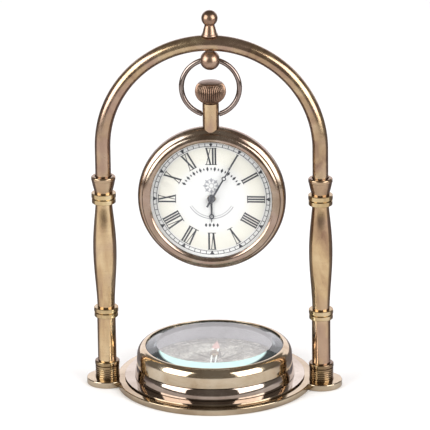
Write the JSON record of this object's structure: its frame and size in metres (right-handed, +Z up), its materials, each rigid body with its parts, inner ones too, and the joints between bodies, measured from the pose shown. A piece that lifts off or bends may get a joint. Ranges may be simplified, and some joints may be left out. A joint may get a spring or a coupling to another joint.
{
  "type": "desk clock with hanging pocket watch and compass base",
  "caption": "Brass desk clock: a pocket watch hangs by its bow from a ball under an arch between two turned columns, above a glazed compass on a lobed base.",
  "frame": {"origin": "centre of the base plate's disc, on its underside", "axes": "+Z up; +X to the right of a person facing the dial; the dial faces -Y"},
  "size_m": [0.0874, 0.067, 0.1322],
  "materials": {
    "antique_brass": "polished, aged brown-gold",
    "base_brass": "satin turned, greyish",
    "dark_brass": "dark coppery patina, semi-polished",
    "card_brass": "matt engraved",
    "steel": "plain machined",
    "watch_glass": "clear domed",
    "compass_glass_clear": "thick clear with a bevelled rim",
    "dial_white": "printed white dial",
    "hand_black": "dark grey",
    "white_plastic": "moulded",
    "board_green": "circuit board",
    "copper_wire": "enamelled wire",
    "needle_blue": "blued, with a red tip"
  },
  "bodies": {
    "stand": {"base_plate": "base_brass", "column_foot_left": "antique_brass", "column_stem_left": "antique_brass", "lower_ring_left": "antique_brass", "baluster_left": "antique_brass", "upper_ring_left": "antique_brass", "column_cup_left": "antique_brass", "column_foot_right": "antique_brass", "column_stem_right": "antique_brass", "lower_ring_right": "antique_brass", "baluster_right": "antique_brass", "upper_ring_right": "antique_brass", "column_cup_right": "antique_brass", "tie_rod_left": "steel", "tie_rod_right": "steel", "arch_bar": "antique_brass", "finial": "dark_brass", "hanger_ball": "dark_brass", "compass_flange": "base_brass", "compass_bowl": "antique_brass", "compass_bezel": "antique_brass", "compass_glass": "compass_glass_clear", "compass_card": "card_brass", "compass_pivot": "steel", "compass_screw_1": "steel", "compass_screw_2": "steel", "compass_screw_3": "steel"},
    "bow": {"bow_ring": "dark_brass"},
    "watch": {"case_middle": "antique_brass", "case_back": "antique_brass", "case_bezel": "antique_brass", "crystal": "watch_glass", "pendant": "antique_brass", "dial": "dial_white", "movement_holder": "white_plastic", "movement_plate": "steel", "circuit_board": "board_green", "coil": "copper_wire", "battery": "steel", "battery_strap": "steel"},
    "stem_socket": {"stem_socket": "steel"},
    "crown": {"crown": "dark_brass", "crown_stem": "steel"},
    "minute_hand": {"minute_hand": "hand_black", "cannon_pinion": "steel"},
    "hour_hand": {"hour_hand": "hand_black", "hour_wheel": "steel"},
    "minute_wheel": {"minute_wheel": "steel"},
    "needle": {"compass_needle": "needle_blue", "needle_cap": "antique_brass"}
  },
  "joints": [
    {"name": "bow_swing", "type": "hinge", "parent": "stand", "child": "bow", "pos_m": [0, -0.0024, 0.115], "axis": [1, 0, 0], "range_deg": [-60, 60]},
    {"name": "watch_tilt", "type": "hinge", "parent": "bow", "child": "watch", "pos_m": [0, -0.0024, 0.0963], "axis": [1, 0, 0], "range_deg": [-60, 60]},
    {"name": "crown_turn", "type": "hinge", "parent": "watch", "child": "stem_socket", "pos_m": [0, -0.0024, 0.0963], "axis": [0, 0, 1], "continuous": true},
    {"name": "crown_pull", "type": "slide", "parent": "stem_socket", "child": "crown", "axis": [0, 0, 1], "range_m": [0, 0.0012]},
    {"name": "minute_hand_turn", "type": "hinge", "parent": "watch", "child": "minute_hand", "pos_m": [0, -0.0024, 0.0669], "axis": [0, 1, 0], "continuous": true},
    {"name": "hour_hand_turn", "type": "hinge", "parent": "watch", "child": "hour_hand", "pos_m": [0, -0.0024, 0.0669], "axis": [0, 1, 0], "continuous": true},
    {"name": "minute_wheel_turn", "type": "hinge", "parent": "watch", "child": "minute_wheel", "pos_m": [-0.0047, -0.0024, 0.06519], "axis": [0, 1, 0], "continuous": true},
    {"name": "needle_turn", "type": "hinge", "parent": "stand", "child": "needle", "pos_m": [0, 0, 0.0083], "axis": [0, 0, 1], "continuous": true}
  ],
  "couplings": [
    {"joint": "hour_hand_turn", "follows": "minute_hand_turn", "ratio": 0.083333},
    {"joint": "minute_wheel_turn", "follows": "minute_hand_turn", "ratio": -0.33333}
  ]
}
